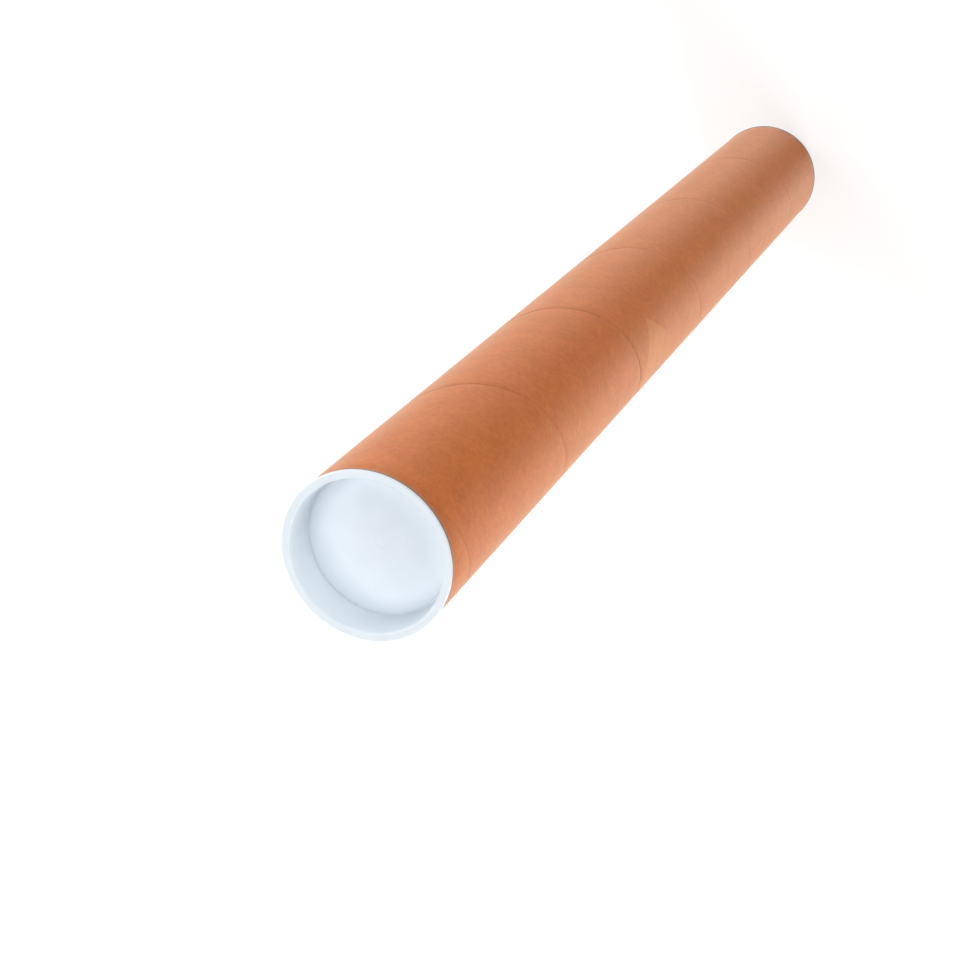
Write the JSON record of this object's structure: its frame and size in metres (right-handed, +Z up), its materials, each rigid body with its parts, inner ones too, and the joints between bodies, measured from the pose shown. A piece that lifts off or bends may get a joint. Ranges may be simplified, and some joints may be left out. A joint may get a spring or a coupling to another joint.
{
  "type": "cardboard mailing tube",
  "caption": "Spiral-wound kraft paper mailing tube with a helical seam, closed at each end by a white moulded plug cap that pulls out.",
  "frame": {"origin": "centre of the surface the tube stands on, under its bottom cap", "axes": "+Z up along the tube's axis, from the bottom cap to the top cap; the seam passes the -X side 41 mm above the tube's lower end"},
  "size_m": [0.0432, 0.0432, 0.4316],
  "materials": {
    "kraft_board": "matte",
    "cap_plastic": "satin"
  },
  "bodies": {
    "tube": {"paper_tube": "kraft_board"},
    "top_cap": {"top_cap": "cap_plastic"},
    "bottom_cap": {"bottom_cap": "cap_plastic"}
  },
  "joints": [
    {"name": "top_cap_pull", "type": "slide", "parent": "tube", "child": "top_cap", "axis": [0, 0, 1], "range_m": [0, 0.03]},
    {"name": "bottom_cap_pull", "type": "slide", "parent": "tube", "child": "bottom_cap", "axis": [0, 0, -1], "range_m": [0, 0.03]}
  ]
}
